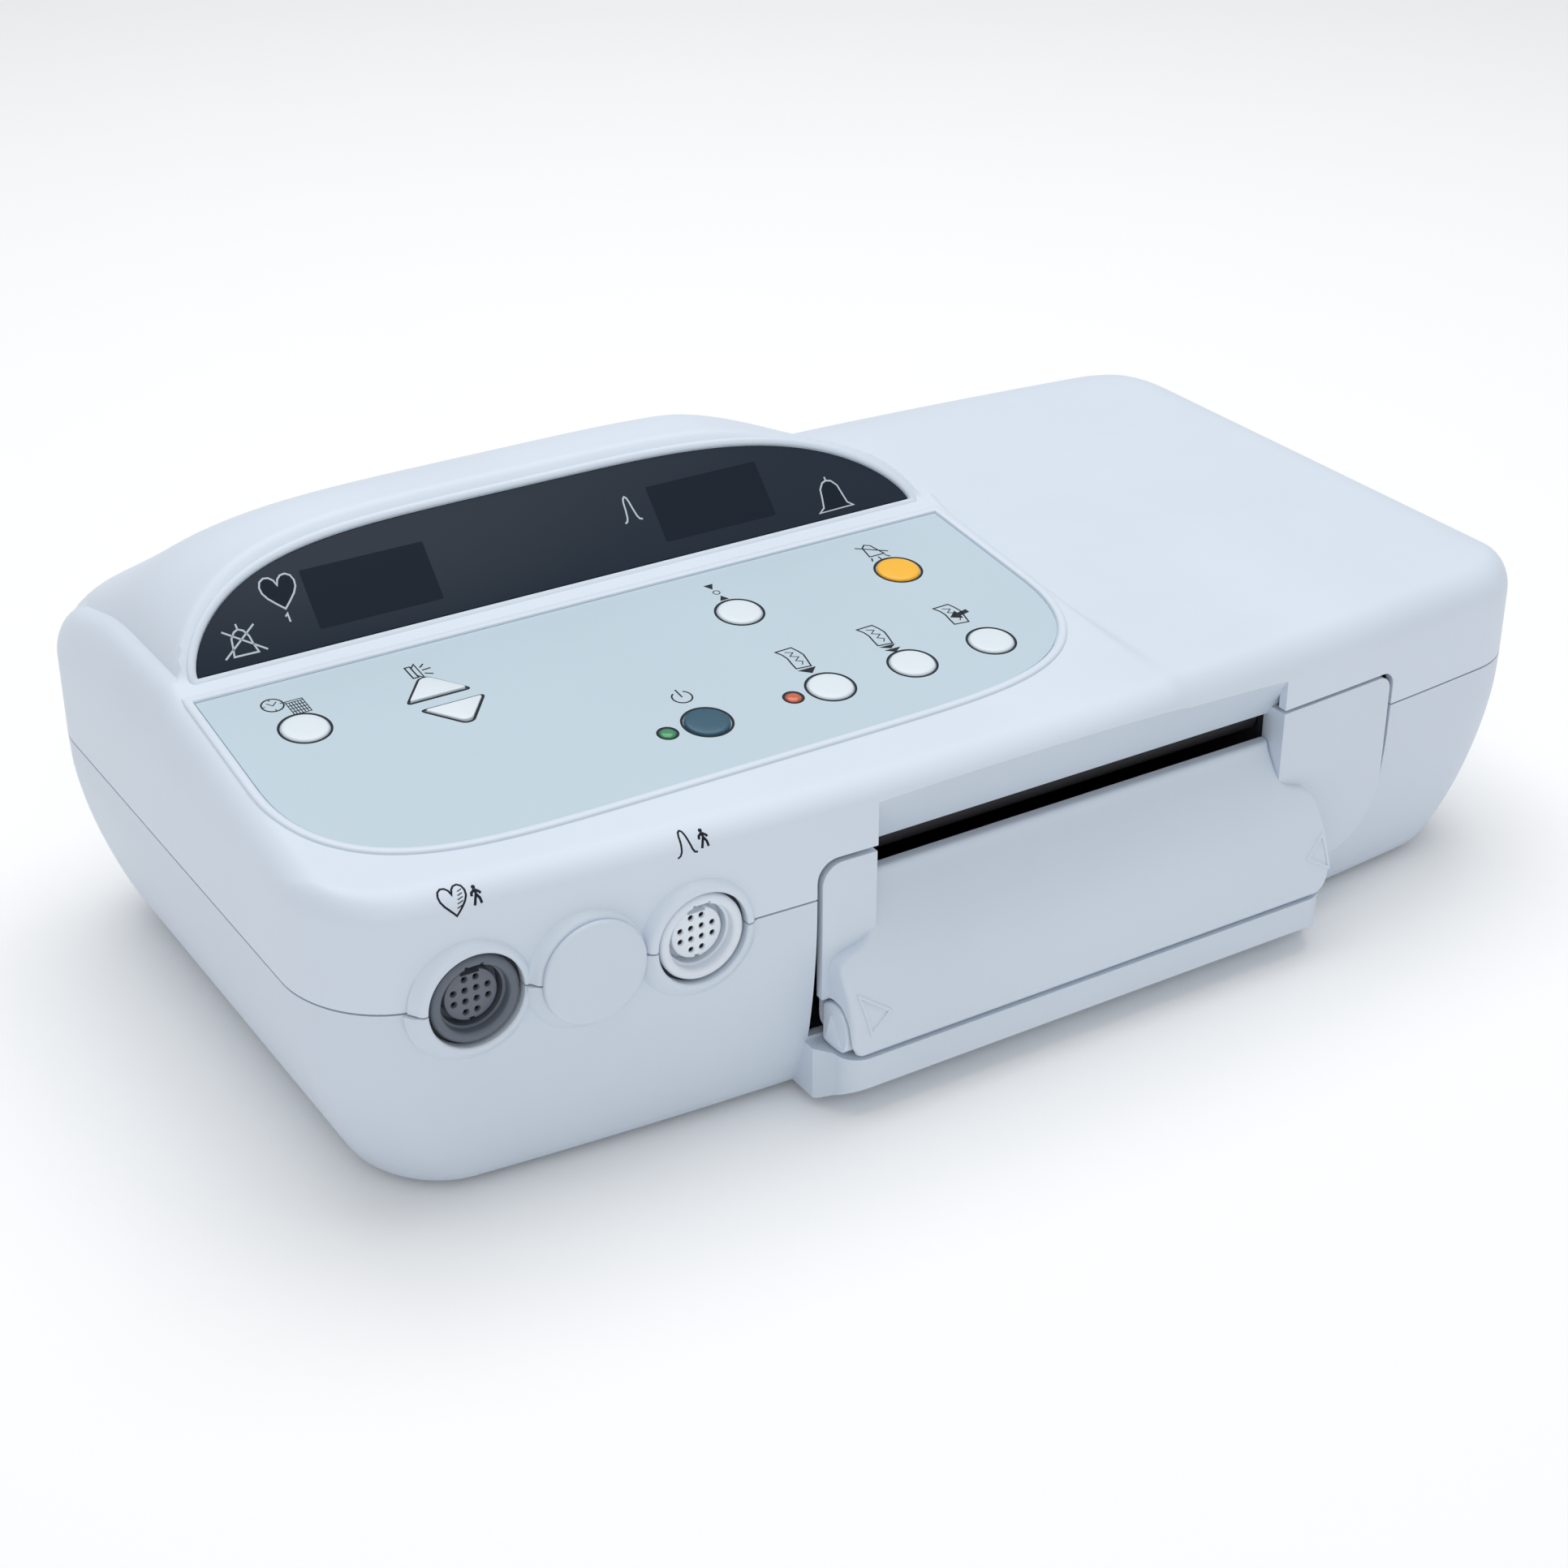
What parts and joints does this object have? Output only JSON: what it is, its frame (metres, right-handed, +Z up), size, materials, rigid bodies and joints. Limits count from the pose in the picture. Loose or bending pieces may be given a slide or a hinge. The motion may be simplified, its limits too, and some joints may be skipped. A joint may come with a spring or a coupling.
{
  "type": "fetal monitor",
  "caption": "Desktop fetal monitor with a dark arched display, a sloped keypad, round transducer sockets in front and a chart recorder drawer.",
  "frame": {"origin": "middle of the outer box in X and Y, at the underside of the rubber feet", "axes": "+X along the long side to the right as seen from the front, the keypad and sockets face -Y, +Z up"},
  "size_m": [0.445, 0.2655, 0.1528],
  "materials": {
    "shell": "fine grained pale blue-grey moulding",
    "smoked_lens": "smooth dark window",
    "circuit_board": "solder mask",
    "digit_module": "dark display block",
    "keypad_film": "printed satin film",
    "black_plastic": "moulded",
    "green_lamp": "unlit lamp lens",
    "red_lamp": "unlit lamp lens",
    "grey_socket": "satin",
    "grey_insert": "satin",
    "white_socket": "satin",
    "white_insert": "satin",
    "steel": "plain",
    "sheet_metal": "zinc plated sheet",
    "print_head": "ceramic and black carrier",
    "roller_rubber": "ground rubber on a steel shaft",
    "gear_plastic": "natural nylon",
    "bronze": "sintered",
    "motor_black": "black can",
    "foot_rubber": "soft feet",
    "white_key": "satin cap",
    "yellow_key": "satin cap",
    "teal_key": "satin cap"
  },
  "bodies": {
    "case": {"top_case": "shell", "base_case": "shell", "display_lens": "smoked_lens", "display_board": "circuit_board", "left_digits": "digit_module", "right_digits": "digit_module", "keypad_overlay": "keypad_film", "keypad_board": "circuit_board", "key_switches": "black_plastic", "power_lamp": "green_lamp", "record_lamp": "red_lamp", "ultrasound_socket": "grey_socket", "ultrasound_insert": "grey_insert", "toco_socket": "white_socket", "toco_insert": "white_insert", "socket_nuts": "steel", "blank_cap": "shell", "socket_board": "circuit_board", "recorder_frame": "sheet_metal", "print_head": "print_head", "roller_bearings": "bronze", "recorder_motor": "motor_black", "main_board": "circuit_board", "power_supply": "sheet_metal", "mains_inlet": "black_plastic", "loudspeaker": "black_plastic", "rubber_feet": "foot_rubber", "case_screws": "steel"},
    "clock_key": {"clock_key": "white_key"},
    "volume_up_key": {"volume_up_key": "white_key"},
    "volume_down_key": {"volume_down_key": "white_key"},
    "reference_key": {"reference_key": "white_key"},
    "alarm_key": {"alarm_key": "yellow_key"},
    "power_key": {"power_key": "teal_key"},
    "record_key": {"record_key": "white_key"},
    "speed_key": {"speed_key": "white_key"},
    "mark_key": {"mark_key": "white_key"},
    "drawer": {"drawer_front": "shell", "paper_tray": "black_plastic", "left_spring": "steel", "right_spring": "steel"},
    "left_latch": {"left_latch": "shell"},
    "right_latch": {"right_latch": "shell"},
    "roller": {"platen_roller": "roller_rubber", "roller_gear": "gear_plastic"},
    "idler": {"idler_gear": "gear_plastic"},
    "pinion": {"motor_pinion": "bronze"}
  },
  "joints": [
    {"name": "clock_key_press", "type": "slide", "parent": "case", "child": "clock_key", "axis": [0, 0.1219, -0.9925], "range_m": [0, 0.001], "stiffness_N_per_m": 500, "springref_m": -0.0005},
    {"name": "volume_up_key_press", "type": "slide", "parent": "case", "child": "volume_up_key", "axis": [0, 0.1219, -0.9925], "range_m": [0, 0.001], "stiffness_N_per_m": 500, "springref_m": -0.0005},
    {"name": "volume_down_key_press", "type": "slide", "parent": "case", "child": "volume_down_key", "axis": [0, 0.1219, -0.9925], "range_m": [0, 0.001], "stiffness_N_per_m": 500, "springref_m": -0.0005},
    {"name": "reference_key_press", "type": "slide", "parent": "case", "child": "reference_key", "axis": [0, 0.1219, -0.9925], "range_m": [0, 0.001], "stiffness_N_per_m": 500, "springref_m": -0.0005},
    {"name": "alarm_key_press", "type": "slide", "parent": "case", "child": "alarm_key", "axis": [0, 0.1219, -0.9925], "range_m": [0, 0.001], "stiffness_N_per_m": 500, "springref_m": -0.0005},
    {"name": "power_key_press", "type": "slide", "parent": "case", "child": "power_key", "axis": [0, 0.1219, -0.9925], "range_m": [0, 0.001], "stiffness_N_per_m": 500, "springref_m": -0.0005},
    {"name": "record_key_press", "type": "slide", "parent": "case", "child": "record_key", "axis": [0, 0.1219, -0.9925], "range_m": [0, 0.001], "stiffness_N_per_m": 500, "springref_m": -0.0005},
    {"name": "speed_key_press", "type": "slide", "parent": "case", "child": "speed_key", "axis": [0, 0.1219, -0.9925], "range_m": [0, 0.001], "stiffness_N_per_m": 500, "springref_m": -0.0005},
    {"name": "mark_key_press", "type": "slide", "parent": "case", "child": "mark_key", "axis": [0, 0.1219, -0.9925], "range_m": [0, 0.001], "stiffness_N_per_m": 500, "springref_m": -0.0005},
    {"name": "drawer_slide", "type": "slide", "parent": "case", "child": "drawer", "axis": [0, -1, 0], "range_m": [0, 0.09]},
    {"name": "left_latch_squeeze", "type": "slide", "parent": "drawer", "child": "left_latch", "axis": [1, 0, 0], "range_m": [0, 0.003], "stiffness_N_per_m": 900, "springref_m": -0.002, "deforming": ["left_spring"]},
    {"name": "right_latch_squeeze", "type": "slide", "parent": "drawer", "child": "right_latch", "axis": [-1, 0, 0], "range_m": [0, 0.003], "stiffness_N_per_m": 900, "springref_m": -0.002, "deforming": ["right_spring"]},
    {"name": "roller_spin", "type": "hinge", "parent": "case", "child": "roller", "pos_m": [0.11, -0.09755, 0.077], "axis": [1, 0, 0], "continuous": true},
    {"name": "idler_spin", "type": "hinge", "parent": "case", "child": "idler", "pos_m": [0.11, -0.07676, 0.065], "axis": [1, 0, 0], "continuous": true},
    {"name": "pinion_spin", "type": "hinge", "parent": "case", "child": "pinion", "pos_m": [0.11, -0.05876, 0.065], "axis": [1, 0, 0], "continuous": true}
  ],
  "couplings": [
    {"joint": "idler_spin", "follows": "roller_spin", "ratio": -1},
    {"joint": "pinion_spin", "follows": "roller_spin", "ratio": 2}
  ]
}
